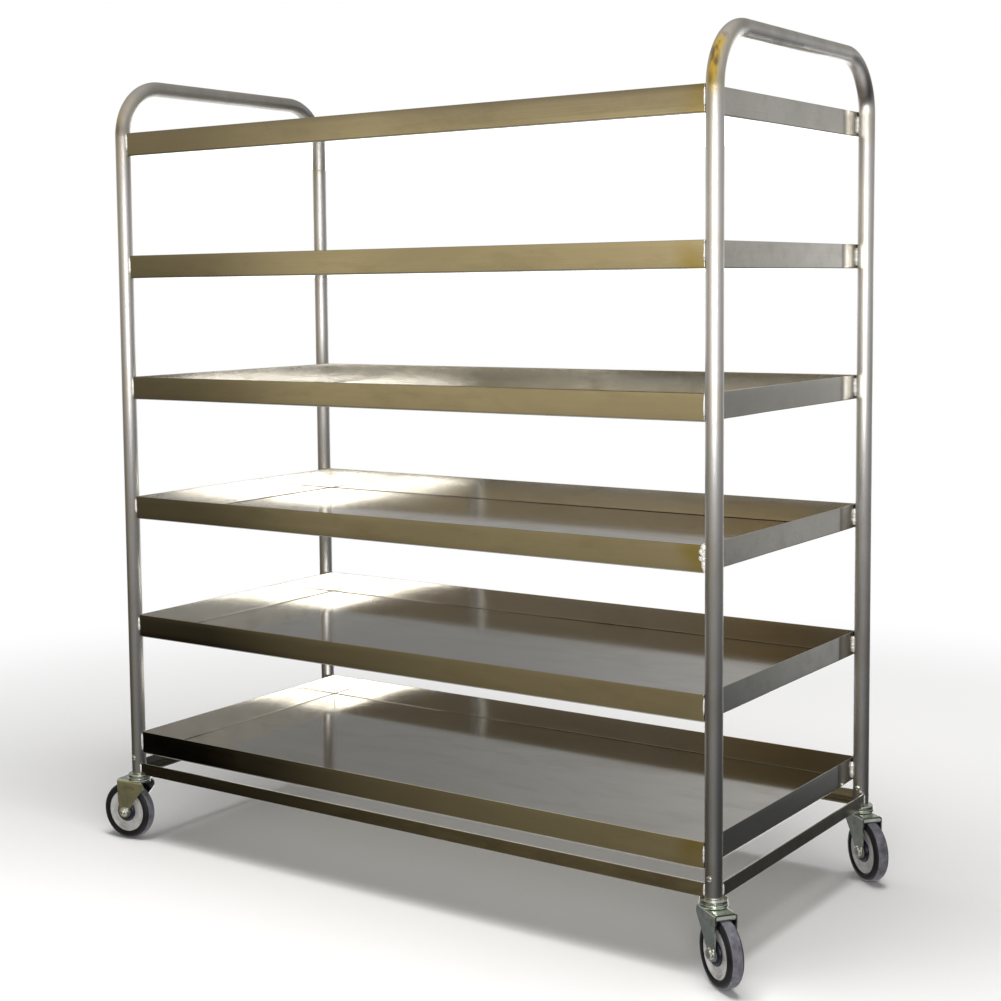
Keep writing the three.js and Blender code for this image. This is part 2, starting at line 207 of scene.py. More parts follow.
def piece(name, shapes, material, body, replaced=(), bevel=0.0):
    """One visible piece made of shapes, riding on its body."""
    bm = bmesh.new()
    for points, faces in shapes:
        verts = [bm.verts.new(point) for point in points]
        for face in faces:
            bm.faces.new([verts[index] for index in face])
    bmesh.ops.remove_doubles(bm, verts=bm.verts, dist=SAME_POINT)
    bmesh.ops.dissolve_degenerate(bm, edges=bm.edges, dist=SAME_POINT / 10)
    if bevel:
        hard = [e for e in bm.edges if len(e.link_faces) == 2 and e.calc_face_angle(0) > BEVEL_OVER]
        bmesh.ops.bevel(
            bm, geom=hard, offset=bevel, segments=2, profile=0.6, affect="EDGES", clamp_overlap=True
        )
    bmesh.ops.recalc_face_normals(bm, faces=bm.faces)
    mesh = bpy.data.meshes.new(name)
    bm.to_mesh(mesh)
    bm.free()
    mesh.shade_smooth()
    mesh.set_sharp_from_angle(angle=SMOOTH_UNDER)
    obj = bpy.data.objects.new(name, mesh)
    bpy.context.scene.collection.objects.link(obj)
    mesh.materials.append(material)
    even = obj.modifiers.new("even_normals", "WEIGHTED_NORMAL")
    even.keep_sharp = True
    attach(obj, body)
    if replaced:
        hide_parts(*replaced)
    return obj


# ---------------------------------------------------------------- material kit
class Finish:
    """A Principled material, with short calls for the nodes that its maps are made of."""

    def __init__(self, name, color, roughness, metallic=0.0):
        self.material = bpy.data.materials.new(name)
        self.material.use_nodes = True
        self.material.diffuse_color = (*color, 1)
        self.tree = self.material.node_tree
        self.shader = self.tree.nodes["Principled BSDF"]
        self.shader.inputs["Base Color"].default_value = (*color, 1)
        self.shader.inputs["Roughness"].default_value = roughness
        self.shader.inputs["Metallic"].default_value = metallic
        self.place = self.node("TexCoord").outputs["Object"]

    def node(self, kind):
        return self.tree.nodes.new("ShaderNode" + kind)

    def link(self, output, socket):
        self.tree.links.new(output, socket)

    def feed(self, socket, value):
        if isinstance(value, bpy.types.NodeSocket):
            self.link(value, socket)
        elif isinstance(value, tuple) and socket.type == "RGBA":
            socket.default_value = (*value, 1)
        else:
            socket.default_value = value

    def math(self, operation, a, b=0.0):
        node = self.node("Math")
        node.operation = operation
        self.feed(node.inputs[0], a)
        self.feed(node.inputs[1], b)
        return node.outputs[0]

    def plus(self, a, b):
        return self.math("ADD", a, b)

    def minus(self, a, b):
        return self.math("SUBTRACT", a, b)

    def times(self, a, b):
        return self.math("MULTIPLY", a, b)

    def axis(self, name):
        """One coordinate of the surface point, in the cart's own frame."""
        node = self.node("SeparateXYZ")
        self.feed(node.inputs[0], self.place)
        return node.outputs[name]

    def by_axis(self, name, *limits, **how):
        """spread() over one coordinate of the surface point."""
        return self.spread(self.axis(name), *limits, **how)

    def noise(self, grain, scale=1.0, detail=3.0, roughness=0.55, distortion=0.0):
        """Noise from 0 to 1. Its grain is one number, or three where it is stretched."""
        mapping = self.node("Mapping")
        self.feed(mapping.inputs["Vector"], self.place)
        mapping.inputs["Scale"].default_value = grain if isinstance(grain, tuple) else (grain,) * 3
        node = self.node("TexNoise")
        self.link(mapping.outputs[0], node.inputs["Vector"])
        node.inputs["Scale"].default_value = scale
        node.inputs["Detail"].default_value = detail
        node.inputs["Roughness"].default_value = roughness
        node.inputs["Distortion"].default_value = distortion
        return node.outputs["Fac"]

    def spread(self, value, low, high, to_low=0.0, to_high=1.0, smooth=False):
        """Maps low..high to another range, held at its ends."""
        node = self.node("MapRange")
        node.interpolation_type = "SMOOTHSTEP" if smooth else "LINEAR"
        self.feed(node.inputs["Value"], value)
        keys = ("From Min", "From Max", "To Min", "To Max")
        for key, limit in zip(keys, (low, high, to_low, to_high)):
            self.feed(node.inputs[key], limit)
        return node.outputs[0]

    def mix(self, factor, a, b):
        node = self.node("Mix")
        node.data_type = "RGBA"
        self.feed(node.inputs[0], factor)
        self.feed(node.inputs[6], a)
        self.feed(node.inputs[7], b)
        return node.outputs[2]

    def color(self, value):
        self.feed(self.shader.inputs["Base Color"], value)

    def roughness(self, value):
        self.feed(self.shader.inputs["Roughness"], value)

    def specular(self, level):
        self.shader.inputs["Specular IOR Level"].default_value = level

    def vector(self, x, y, z):
        node = self.node("CombineXYZ")
        for key, number in zip("XYZ", (x, y, z)):
            self.feed(node.inputs[key], number)
        return node.outputs[0]

    def spread_along(self, direction, amount):
        """Stretches the highlights along a direction, as the fine lines of brushing do."""
        self.shader.inputs["Anisotropic"].default_value = amount
        self.link(direction, self.shader.inputs["Tangent"])

    def bump(self, height, strength, distance):
        node = self.node("Bump")
        node.inputs["Strength"].default_value = strength
        node.inputs["Distance"].default_value = distance
        self.feed(node.inputs["Height"], height)
        self.link(node.outputs[0], self.shader.inputs["Normal"])


# ---------------------------------------------------------------- finishes
# Distances here are in metres: how far from an edge or a joint a tint reaches.
def tray_finish():
    """Sheet with a fine brushed grain, wiped smears and a straw tint by some front right welds."""
    finish = Finish("brushed_tray_sheet", (0.62, 0.605, 0.565), 0.1, 1.0)
    along_x = finish.noise((3.0, 1500, 1500), detail=1)
    along_y = finish.noise((1500, 3.0, 1500), detail=1)
    across = finish.math("ABSOLUTE", finish.axis("X"))
    on_end = finish.spread(across, TRAY_HALF_X - 0.006, TRAY_HALF_X - 0.004)
    on_side = finish.minus(1.0, on_end)
    grain = finish.plus(finish.times(along_y, on_end), finish.times(along_x, on_side))
    smear = finish.noise((2.2, 5.0, 5.0), scale=1.6, detail=4, roughness=0.6, distortion=0.5)
    wipe = finish.noise((6, 14, 20), scale=1.2, detail=5, roughness=0.65)
    dull = finish.spread(smear, 0.40, 0.70)
    stain = finish.spread(wipe, 0.50, 0.72)
    base = finish.mix(dull, (0.645, 0.63, 0.59), (0.575, 0.56, 0.52))
    base = finish.mix(finish.times(stain, 0.5), base, (0.46, 0.44, 0.385))
    base = finish.mix(finish.spread(grain, 0.3, 0.7, 0.0, 0.16), base, (0.44, 0.425, 0.385))
    by_leg = finish.by_axis("X", TRAY_HALF_X - 0.07, TRAY_HALF_X - 0.02, smooth=True)
    in_front = finish.by_axis("Y", -TRAY_HALF_Y + 0.012, -TRAY_HALF_Y + 0.004)
    some_levels = finish.spread(finish.noise((3, 3, 5.5), detail=0), 0.44, 0.56)
    heat = finish.times(finish.times(by_leg, in_front), some_levels)
    finish.color(finish.mix(finish.times(heat, 0.75), base, (0.50, 0.42, 0.13)))
    rough = finish.plus(finish.spread(grain, 0.2, 0.8, 0.07, 0.10), finish.times(dull, 0.03))
    finish.roughness(finish.plus(rough, finish.times(stain, 0.03)))
    finish.bump(grain, 0.012, 0.0002)
    finish.spread_along(finish.vector(0.0, 0.3, 1.0), 0.6)
    return finish.material


def heat_by_trays(finish):
    """1 on the legs at each tray's welds, fading out between the trays and under the handle."""
    middle = tray_low.z + LIP_HEIGHT / 2
    level = finish.math("DIVIDE", finish.minus(finish.axis("Z"), middle), TRAY_PITCH)
    off = finish.math("ABSOLUTE", finish.minus(level, finish.math("ROUND", level)))
    heat = finish.spread(off, 0.09, 0.2, 0.35, 0.0, smooth=True)
    below_top = finish.by_axis("Z", HANDLE_Z - 0.1, HANDLE_Z - 0.06, 1.0, 0.0)
    return finish.times(heat, below_top)


def front_bend_reflection_patch(finish):
    """1 on the inner side of the right handle's front bend, where a warm reflection is painted."""
    on_bend = finish.by_axis("Z", HANDLE_Z - 0.135, HANDLE_Z - 0.085, smooth=True)
    below_bar = finish.by_axis("Z", HANDLE_Z - 0.035, HANDLE_Z - 0.008, 1.0, 0.0, smooth=True)
    in_front = finish.by_axis("Y", -LEG_Y + 0.05, -LEG_Y + 0.10, 1.0, 0.0)
    on_right = finish.by_axis("X", LEG_X - 0.014, LEG_X - 0.002, 0.1, 1.0, smooth=True)
    off_edge = finish.by_axis("X", LEG_X + 0.006, LEG_X + 0.014, 1.0, 0.15, smooth=True)
    upright = finish.times(on_bend, below_bar)
    return finish.times(upright, finish.times(in_front, finish.times(on_right, off_edge)))


def direction_round(finish):
    """The direction round the tube: across both its own direction and the surface normal."""
    rise = finish.by_axis("Z", HANDLE_Z - BEND_R, HANDLE_Z - 0.004)
    side = finish.times(finish.math("SIGN", finish.axis("Y")), -1.0)
    upright = finish.math("SQRT", finish.minus(1.0, finish.times(rise, rise)))
    along = finish.vector(0.0, finish.times(rise, side), upright)
    normal = finish.node("NewGeometry").outputs["Normal"]
    across = finish.node("VectorMath")
    across.operation = "CROSS_PRODUCT"
    finish.link(along, across.inputs[0])
    finish.link(normal, across.inputs[1])
    return across.outputs[0]


def tube_finish():
    """Tube linished along its length, which spreads its highlights round it."""
    finish = Finish("linished_tube", (0.66, 0.655, 0.64), 0.36, 1.0)
    drawn = finish.noise((900, 900, 4), detail=1)
    marks = finish.noise((9, 9, 4), scale=1.5, detail=5, roughness=0.62, distortion=0.4)
    dull = finish.spread(marks, 0.42, 0.68)
    base = finish.mix(dull, (0.69, 0.685, 0.675), (0.57, 0.56, 0.545))
    base = finish.mix(finish.spread(drawn, 0.3, 0.75, 0.0, 0.2), base, (0.44, 0.43, 0.42))
    # Painted shade: the whole left end frame, which lies farther from the lamps, is painted darker.
    left_frame_shade = finish.by_axis("X", -0.1, 0.1, 0.32, 0.0)
    base = finish.mix(left_frame_shade, base, (0.30, 0.285, 0.27))
    base = finish.mix(finish.times(heat_by_trays(finish), dull), base, (0.50, 0.43, 0.30))
    # Painted reflection: a streaked straw and brown patch on the right handle's front bend stands
    # in for a warm reflection of the room.
    streak = finish.spread(finish.noise((60, 60, 7), detail=2), 0.5, 0.62)
    straw = finish.mix(streak, (0.90, 0.66, 0.10), (0.30, 0.17, 0.05))
    base = finish.mix(finish.times(front_bend_reflection_patch(finish), 0.9), base, straw)
    # Painted reflection: the far bend of each handle is painted dark brown, standing in for the
    # dark part of the room that it mirrors.
    far_side = finish.by_axis("Y", LEG_Y - 0.06, LEG_Y - 0.02, 0.0, 0.6, smooth=True)
    dark_reflection_bend = finish.by_axis("Z", HANDLE_Z - 0.10, HANDLE_Z - 0.06, smooth=True)
    finish.color(finish.mix(finish.times(far_side, dark_reflection_bend), base, (0.20, 0.15, 0.135)))
    rough = finish.spread(drawn, 0.2, 0.8, 0.26, 0.31)
    finish.roughness(finish.plus(rough, finish.times(dull, 0.06)))
    finish.bump(drawn, 0.05, 0.0002)
    finish.spread_along(direction_round(finish), 0.95)
    return finish.material


def rail_finish():
    """Mill-finish angle, duller than the trays, with scuffs along it."""
    finish = Finish("mill_angle", (0.42, 0.40, 0.34), 0.24, 1.0)
    grain = finish.noise((3, 160, 160), detail=3)
    scuff = finish.noise((8, 30, 30), detail=5, roughness=0.65, distortion=0.5)
    dull = finish.spread(scuff, 0.42, 0.66)
    base = finish.mix(dull, (0.46, 0.44, 0.38), (0.30, 0.28, 0.23))
    finish.color(finish.mix(finish.spread(grain, 0.3, 0.7, 0.0, 0.3), base, (0.25, 0.235, 0.20)))
    rough = finish.spread(grain, 0.2, 0.8, 0.12, 0.18)
    finish.roughness(finish.plus(rough, finish.times(dull, 0.04)))
    finish.bump(grain, 0.2, 0.0004)
    return finish.material


def zinc_finish():
    """Bright zinc plate with a faint yellow passivate, cloudy and a little scuffed."""
    finish = Finish("zinc_plate", (0.74, 0.75, 0.66), 0.24, 1.0)
    cloud = finish.noise(28, detail=4, roughness=0.55)
    fine = finish.noise(420, detail=2)
    base = finish.mix(finish.spread(cloud, 0.35, 0.65), (0.70, 0.75, 0.68), (0.46, 0.51, 0.46))
    stain = finish.spread(finish.noise((24, 24, 60), detail=3), 0.56, 0.7)
    finish.color(finish.mix(finish.times(stain, 0.5), base, (0.34, 0.32, 0.26)))
    finish.roughness(finish.spread(cloud, 0.3, 0.7, 0.17, 0.30))
    finish.bump(fine, 0.03, 0.0002)
    return finish.material


def fastener_finish():
    """Plated steel of the bolts, nuts and pins."""
    finish = Finish("plated_fastener", (0.72, 0.72, 0.69), 0.22, 1.0)
    cloud = finish.noise(120, detail=4)
    finish.color(finish.mix(finish.spread(cloud, 0.4, 0.7), (0.76, 0.76, 0.74), (0.52, 0.51, 0.47)))
    finish.roughness(finish.spread(cloud, 0.3, 0.7, 0.16, 0.36))
    finish.bump(cloud, 0.08, 0.0003)
    return finish.material


def weld_finish():
    """Brushed-off weld metal: bright, lumpy, with straw and blue heat colours."""
    finish = Finish("weld_metal", (0.86, 0.85, 0.83), 0.4, 0.55)
    cloud = finish.noise(260, detail=4)
    tint = finish.mix(finish.spread(cloud, 0.35, 0.5), (0.80, 0.76, 0.66), (0.93, 0.93, 0.92))
    finish.color(finish.mix(finish.spread(cloud, 0.62, 0.74), tint, (0.62, 0.62, 0.68)))
    finish.roughness(finish.spread(cloud, 0.3, 0.7, 0.3, 0.5))
    finish.bump(cloud, 0.4, 0.0008)
    return finish.material


def tyre_finish():
    """Black rubber with a grey bloom and a little dust."""
    finish = Finish("tyre_rubber", (0.02, 0.02, 0.023), 0.55)
    bloom = finish.noise(30, detail=5, roughness=0.65)
    dust = finish.noise(150, detail=4, roughness=0.7)
    base = finish.mix(finish.spread(bloom, 0.35, 0.7), (0.004, 0.004, 0.006), (0.014, 0.014, 0.018))
    finish.color(finish.mix(finish.spread(dust, 0.62, 0.8, 0.0, 0.3), base, (0.10, 0.095, 0.09)))
    finish.roughness(finish.spread(bloom, 0.3, 0.7, 0.38, 0.56))
    finish.specular(0.32)
    finish.bump(dust, 0.2, 0.0004)
    return finish.material


def tread_finish():
    """The tyre's running surface: the same rubber, worn grey with dust in it, and lighter still
    with a painted grey sheen.
    """
    finish = Finish("worn_tread_and_sheen", (0.09, 0.088, 0.10), 0.6)
    scuff = finish.noise(60, detail=5, roughness=0.7)
    dust = finish.noise(300, detail=3, roughness=0.7)
    # Partly painted sheen: this grey is partly worn, dusty rubber and partly a sheen painted into
    # the colour.
    base = finish.mix(finish.spread(scuff, 0.35, 0.65), (0.08, 0.078, 0.092), (0.20, 0.196, 0.225))
    finish.color(finish.mix(finish.spread(dust, 0.6, 0.8, 0.0, 0.4), base, (0.30, 0.29, 0.28)))
    finish.roughness(finish.spread(scuff, 0.3, 0.7, 0.5, 0.7))
    finish.specular(0.3)
    finish.bump(dust, 0.2, 0.0004)
    return finish.material


def disc_finish():
    """Light grey moulded wheel centre, grained and faintly grimy."""
    finish = Finish("wheel_plastic", (0.50, 0.49, 0.485), 0.45)
    grime = finish.noise(38, detail=5, roughness=0.62)
    grain = finish.noise(700, detail=2)
    base = finish.mix(finish.spread(grime, 0.42, 0.72), (0.56, 0.55, 0.54), (0.34, 0.325, 0.30))
    finish.color(base)
    finish.roughness(finish.spread(grime, 0.3, 0.7, 0.36, 0.58))
    finish.bump(grain, 0.15, 0.0002)
    return finish.material


def guard_finish():
    """Black moulded thread guard, dusty in its grain."""
    finish = Finish("guard_plastic", (0.018, 0.018, 0.026), 0.38)
    dust = finish.noise(90, detail=4, roughness=0.65)
    dusty = finish.spread(dust, 0.5, 0.75)
    finish.color(finish.mix(dusty, (0.003, 0.004, 0.016), (0.014, 0.015, 0.030)))
    finish.roughness(finish.spread(dust, 0.3, 0.7, 0.2, 0.4))
    finish.bump(dust, 0.15, 0.0003)
    return finish.material


TUBE = tube_finish()
TRAY = tray_finish()
RAIL = rail_finish()
ZINC = zinc_finish()
FASTENER = fastener_finish()
WELD = weld_finish()
TYRE = tyre_finish()
TREAD = tread_finish()
DISC = disc_finish()
GUARD = guard_finish()


# ---------------------------------------------------------------- end frames
def frame_path():
    """(y, z, direction y, direction z, in a bend) along the tube, from foot to foot."""
    top = HANDLE_Z - BEND_R
    side = LEG_Y - BEND_R
    leg_steps = 40
    bend_steps = 24
    bar_steps = 16
    up = []
    for k in range(leg_steps):
        up.append((-LEG_Y, FOOT_Z + (top - FOOT_Z) * k / leg_steps, 0, 1, 0))
    for k in range(bend_steps):
        turn = pi / 2 * k / bend_steps
        y = -side - BEND_R * cos(turn)
        z = top + BEND_R * sin(turn)
        up.append((y, z, sin(turn), cos(turn), sin(2 * turn)))
    bar = [(-side + 2 * side * k / bar_steps, HANDLE_Z, 1, 0, 0) for k in range(bar_steps + 1)]
    down = [(-y, z, along_y, -along_z, bent) for y, z, along_y, along_z, bent in reversed(up)]
    return up + bar + down


def frame_tube(x):
    """The bent tube with its wall, a rounded rim at each foot and bends a little flattened."""
    sides = 48
    flattening = 0.03
    rim = 0.0004

    def loop(stop, radius, shift=0.0):
        y, z, along_y, along_z, bent = stop
        points = []
        for angle in angles_round(sides):
            out = radius * sin(angle) * (1 - flattening * bent)
            level_y = y + along_y * shift - along_z * out
            level_z = z + along_z * shift + along_y * out
            points.append((x + radius * cos(angle), level_y, level_z))
        return points

    stops = frame_path()
    inner = TUBE_R - TUBE_WALL
    shifts = {0: rim, len(stops) - 1: -rim}
    loops = [loop(stop, TUBE_R, shifts.get(k, 0)) for k, stop in enumerate(stops)]
    loops.append(loop(stops[-1], TUBE_R - rim))
    loops.append(loop(stops[-1], inner + rim))
    loops += [loop(stop, inner) for stop in reversed(stops)]
    loops.append(loop(stops[0], inner + rim))
    loops.append(loop(stops[0], TUBE_R - rim))
    return bridged(loops, ring=True)


for side, sign in (("right", 1), ("left", -1)):
    lengths = [f"front_{side}_leg", f"back_{side}_leg", f"{side}_handle"]
    piece(f"{side}_end_tube", [frame_tube(sign * LEG_X)], TUBE, "root", lengths)


# ---------------------------------------------------------------- trays
def tray_section():
    """(outward, height) from the underside's edge, over the lip's rim and down to the floor."""
    section = []
    bend_steps = 5
    lip_steps = 4
    rim_steps = 5
    inner_bend = TRAY_BEND - SHEET
    rim_r = SHEET / 2
    top = LIP_HEIGHT - rim_r
    for k in range(bend_steps + 1):
        turn = pi / 2 * k / bend_steps
        section.append((TRAY_BEND * sin(turn), TRAY_BEND * (1 - cos(turn))))
    for k in range(1, lip_steps + 1):
        section.append((TRAY_BEND, TRAY_BEND + (top - TRAY_BEND) * k / lip_steps))
    for k in range(1, rim_steps + 1):
        turn = pi * k / rim_steps
        section.append((TRAY_BEND - rim_r + rim_r * cos(turn), top + rim_r * sin(turn)))
    for k in range(1, lip_steps + 1):
        section.append((inner_bend, top - (top - TRAY_BEND) * k / lip_steps))
    for k in range(1, bend_steps + 1):
        turn = pi / 2 * (1 - k / bend_steps)
        section.append((inner_bend * sin(turn), TRAY_BEND - inner_bend * cos(turn)))
    return section


def tray_shape(name, seed):
    """Pressed sheet pan with rounded corners, a gently waving floor and lips."""
    low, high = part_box(name)
    half_x = high.x - TRAY_BEND
    half_y = high.y - TRAY_BEND
    long_steps = 72
    short_steps = 36
    corner_steps = 5
    xs = [half_x * (2 * k / long_steps - 1) for k in range(long_steps + 1)]
    ys = [half_y * (2 * k / short_steps - 1) for k in range(short_steps + 1)]

    def settle(point, share_up):
        """Moves a point with the sheet's waves: the floor up and down, the lips in and out."""
        x, y, z = point
        calm = min(1, (half_x - abs(x)) / CALM_RIM) * min(1, (half_y - abs(y)) / CALM_RIM)
        calm = max(0, calm)
        wave = noise.noise(Vector((x * 2.6, y * 3.4, seed * 7.3)))
        z += FLOOR_WAVE * wave * calm
        lean = noise.noise(Vector((x * 3.1 + 11, y * 3.1, seed * 5.1))) * share_up
        ends = max(0, min(1, (half_x - abs(x)) / CALM_END))
        y += LIP_WAVE * lean * copysign(1, y) * ends
        return x, y, z

    stations = []
    turns = [((1, -1), -90), ((1, 1), 0), ((-1, 1), 90), ((-1, -1), 180)]
    edges = [
        [(x, -half_y) for x in xs],
        [(half_x, y) for y in ys],
        [(x, half_y) for x in reversed(xs)],
        [(-half_x, y) for y in reversed(ys)],
    ]
    normals = [(0, -1), (1, 0), (0, 1), (-1, 0)]
    for edge, normal, (corner, start) in zip(edges, normals, turns):
        for x, y in edge:
            stations.append((x, y, *normal))
        for k in range(1, corner_steps):
            angle = radians(start + 90 * k / corner_steps)
            tight = [copysign(abs(part) ** 0.4, part) for part in (cos(angle), sin(angle))]
            stations.append((corner[0] * half_x, corner[1] * half_y, *tight))
    loops = []
    for out, up in tray_section():
        loop = []
        share_up = max(0, (up - TRAY_BEND) / (LIP_HEIGHT - TRAY_BEND))
        for x, y, nx, ny in stations:
            loop.append(settle((x + nx * out, y + ny * out, low.z + up), share_up))
        loops.append(loop)
    shapes = [bridged(loops)]
    for up in (0, SHEET):
        grid = [[settle((x, y, low.z + up), 0) for x in xs] for y in ys]
        points = [point for row in grid for point in row]
        faces = []
        for row in range(len(ys) - 1):
            for column in range(len(xs) - 1):
                start = row * len(xs) + column
                faces.append([start, start + 1, start + 1 + len(xs), start + len(xs)])
        shapes.append((points, faces))
    return shapes


for level, name in enumerate(TRAYS, start=1):
    piece(f"{name}_pan", tray_shape(name, level), TRAY, "root", [name])


# ---------------------------------------------------------------- base rails
def refined(node):
    """The node's own solid as one welded shape with flat faces whole again, for bevelling."""
    bm = bmesh.new()
    bm.from_mesh(frame["nodes"][node].data)
    bmesh.ops.remove_doubles(bm, verts=bm.verts, dist=SAME_POINT)
    flat = radians(1)
    bmesh.ops.dissolve_limit(bm, angle_limit=flat, verts=bm.verts, edges=bm.edges)
    points = [vert.co.copy() for vert in bm.verts]
    faces = [[vert.index for vert in face.verts] for face in bm.faces]
    bm.free()
    return points, faces


for side in ("front", "back", "right", "left"):
    node = f"{side}_base_rail"
    piece(f"{node}_angle", [refined(node)], RAIL, "root", [node], bevel=0.0009)


# ---------------------------------------------------------------- welds
BEAD_STEP = 0.0012
BEAD_RIPPLE = 0.0032
BEAD_FLATNESS = 0.75
BEAD_SIDES = 12
DROP_SIDES = 14
DROP_RINGS = 8
BIG_WELD_LEVEL = 3


def bead(start, end, radius, seed):
    """A rippled weld bead between two points, half sunk in the joint it fills."""
    rng = random.Random(seed)
    start = Vector(start)
    end = Vector(end)
    length = (end - start).length
    along = (end - start).normalized()
    side = along.orthogonal().normalized()
    other = along.cross(side)
    steps = max(8, round(length / BEAD_STEP))
    drift = rng.uniform(0, 10)
    loops = [[start]]
    for k in range(1, steps):
        share = k / steps
        end_fade = min(1, 4 * share, 4 * (1 - share)) ** 0.5
        ripple = 1 + 0.10 * cos(2 * pi * share * length / BEAD_RIPPLE)
        lump = 1 + 0.28 * noise.noise(Vector((share * length * 160, drift, seed)))
        r = radius * end_fade * ripple * lump
        centre = start.lerp(end, share)
        loop = []
        for angle in angles_round(BEAD_SIDES):
            across = side * (r * cos(angle))
            loop.append(centre + across + other * (r * sin(angle) * BEAD_FLATNESS))
        loops.append(loop)
    loops.append([end])
    return bridged(loops)


def drop(middle, radius, seed):
    """A small lumpy ball of weld metal."""
    loops = [[Vector(middle) + Vector((0, 0, radius))]]
    for k in range(1, DROP_RINGS):
        turn = pi * k / DROP_RINGS
        level = sin(turn)
        loop = []
        for angle in angles_round(DROP_SIDES):
            way = Vector((level * cos(angle), level * sin(angle), cos(turn)))
            lump = 1 + 0.2 * noise.noise(way * 2 + Vector((seed, 0, 0)))
            loop.append(Vector(middle) + way * radius * lump)
        loops.append(loop)
    loops.append([Vector(middle) - Vector((0, 0, radius))])
    return bridged(loops)


def big_weld(low, high):
    """The heavy white weld at the front right of one tray: a thick bead with three drops on it."""
    x = TRAY_HALF_X + 0.0015
    y = -TRAY_HALF_Y - 0.0012
    return [
        bead((x, y, low.z + 0.001), (x - 0.001, y, high.z + 0.001), 0.0062, 7),
        drop((x - 0.006, y + 0.0004, high.z - 0.011), 0.0058, 3),
        drop((x - 0.001, y - 0.0006, high.z - 0.003), 0.0064, 5),
        drop((x - 0.0075, y + 0.001, high.z - 0.023), 0.0046, 8),
    ]


def tray_welds(name, level):
    """Upright beads where each corner of a tray meets its leg, outside and inside the leg."""
    low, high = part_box(name)
    shapes = []
    for sx in (1, -1):
        for sy in (1, -1):
            seed = level * 10 + sx * 2 + sy
            rng = random.Random(seed)
            size = 0.0016 + 0.0008 * rng.random()
            lift = 0.006 + 0.010 * rng.random()
            x = sx * (TRAY_HALF_X - 0.0003)
            y = sy * (TRAY_HALF_Y + 0.0006)
            top = high.z - 0.002 - 0.004 * rng.random()
            shapes.append(bead((x, y, low.z + lift), (x + sx * 0.0004, y, top), size, seed))
            at_back_right = sx > 0 and sy > 0
            inner_size = 0.0042 if at_back_right else 0.0025
            inner_x = sx * (TRAY_HALF_X + 0.0012)
            inner_y = sy * (LEG_Y - 0.0085)
            bottom_end = (inner_x, inner_y, low.z + 0.006)
            shapes.append(bead(bottom_end, (inner_x, inner_y, top - 0.003), inner_size, seed + 50))
    if level == BIG_WELD_LEVEL:
        shapes += big_weld(low, high)
    return shapes


for level, name in enumerate(TRAYS, start=1):
    piece(f"{name}_welds", tray_welds(name, level), WELD, "root")


def rail_welds():
    """Short beads where the angle rails meet the legs."""
    shapes = []
    rail_low, rail_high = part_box("front_base_rail")
    end_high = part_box("right_base_rail")[1]
    sunk = 0.0005
    size = 0.0024
    low = rail_low.z + 0.002
    high = rail_high.z - 0.001
    for sx in (1, -1):
        for sy in (1, -1):
            seed = 200 + sx * 2 + sy
            by_long_rail = (sx * (LEG_X - TUBE_R * 0.86), sy * (abs(rail_low.y) - sunk))
            by_end_rail = (sx * (end_high.x - sunk), sy * (LEG_Y - TUBE_R * 0.75))
            for x_y, number in ((by_long_rail, seed), (by_end_rail, seed + 20)):
                shapes.append(bead((*x_y, low), (*x_y, high), size, number))
    return shapes


piece("base_rail_welds", rail_welds(), WELD, "root")


# ---------------------------------------------------------------- casters
# Profiles are in millimetres, in the caster's own frame: swivel axis on Z, wheel trailing
# along +X, axle along Y.
WHEEL_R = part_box("front_left_tyre")[1].z / 2 / MM
RACE_R = 25.0
RACE_TOP = FOOT_Z / MM - 0.35
RACE_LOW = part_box("front_right_caster_stem")[0].z / MM
CROWN_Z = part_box("front_right_fork")[1].z / MM
STEM_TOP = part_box("front_right_caster_stem")[1].z / MM
STEM_R = 13.8
PIN_Z = 187.0
PIN_SEAT = TUBE_R / MM + 0.1
TRAIL = 30.0
FORK_OUTER = 21.6
FORK_THICK = 3.0
ARM_END_R = 14.0
CROWN_FRONT = 26.0
CROWN_BACK = 47.0
FLATS = 16.0
HEAD_HEIGHT = 6.0
NUT_HEIGHT = 7.0

HEX_SIDES = 60
TREAD_DEPTH = 7
TREAD_LEAN = 0.45
ALONG_Y = Matrix.Rotation(radians(-90), 4, "X")


def axle_frame(matrix):
    """The frame of the wheel's turned pieces, with the axle on its Z."""
    return matrix @ Matrix.Translation((TRAIL, 0, WHEEL_R)) @ ALONG_Y


def stem_shape(matrix):
    profile = [
        (0, RACE_LOW), (RACE_R, RACE_LOW), (RACE_R, RACE_TOP), (STEM_R, RACE_TOP),
        (STEM_R, STEM_TOP), (0, STEM_TOP),
    ]
    return turned(soften(profile, 1.6, closed=False), matrix, 72)


def cup_shape(matrix):
    low = CROWN_Z + 0.2
    high = RACE_LOW - 0.5
    outer = RACE_R + 1
    profile = [(10, low), (outer - 1.5, low), (outer, low + 2.2), (outer, high), (10, high)]
    return turned(soften(profile, 1.5), matrix, 72, ring=True)


def pin_shape(matrix):
    """A domed head on each end of the pin through a leg."""
    half = [(3, 0), (5.2, 0), (5.2, 0.7), (4.3, 1.8), (2.4, 2.5), (0, 2.7)]
    up = [(r, PIN_SEAT + h) for r, h in half]
    down = [(r, -PIN_SEAT - h) for r, h in reversed(half)]
    pin = matrix @ Matrix.Translation((0, 0, PIN_Z)) @ ALONG_Y
    return turned(soften(down + up, 0.5, closed=False), pin, 32)


def kingpin_shape(matrix):
    seat = CROWN_Z - 4
    profile = [
        (0, seat - 5), (5.5, seat - 4.8), (8.6, seat - 3), (9.5, seat - 0.8), (9.5, seat),
        (6, seat), (6, RACE_LOW + 8), (0, RACE_LOW + 8),
    ]
    return turned(soften(profile, 0.7, closed=False), matrix, 36)


